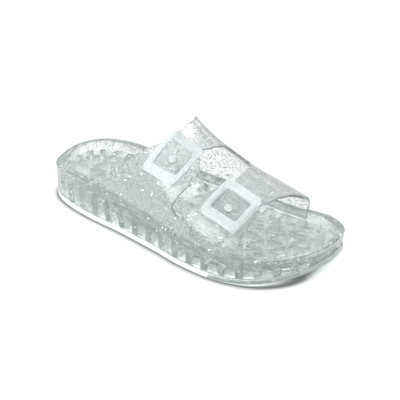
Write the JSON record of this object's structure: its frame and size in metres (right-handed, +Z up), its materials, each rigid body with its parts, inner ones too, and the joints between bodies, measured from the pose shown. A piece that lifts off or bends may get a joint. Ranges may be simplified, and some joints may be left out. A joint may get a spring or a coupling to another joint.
{
  "type": "jelly sandal",
  "caption": "Open-toed clear plastic slide with a deep ribbed sole, a raised rim round the footbed and buckled straps over the foot.",
  "frame": {"origin": "middle of the shoe's bounding box, on the floor that it stands on", "axes": "+X from heel to toe, +Y towards the inner side of the foot, +Z up"},
  "size_m": [0.2556, 0.0992, 0.0938],
  "materials": {
    "clear_jelly": "clear, faintly grey-green flexible plastic with fine silver glitter in it, glossy",
    "frosted_buckle": "milky, frosted clear plastic"
  },
  "bodies": {
    "root": {"sole_unit": "clear_jelly", "outsole": "clear_jelly", "upper_medial": "clear_jelly", "upper_lateral": "clear_jelly", "buckle_rear": "frosted_buckle", "buckle_front": "frosted_buckle", "stud_rear": "frosted_buckle", "stud_front": "frosted_buckle"}
  },
  "joints": []
}
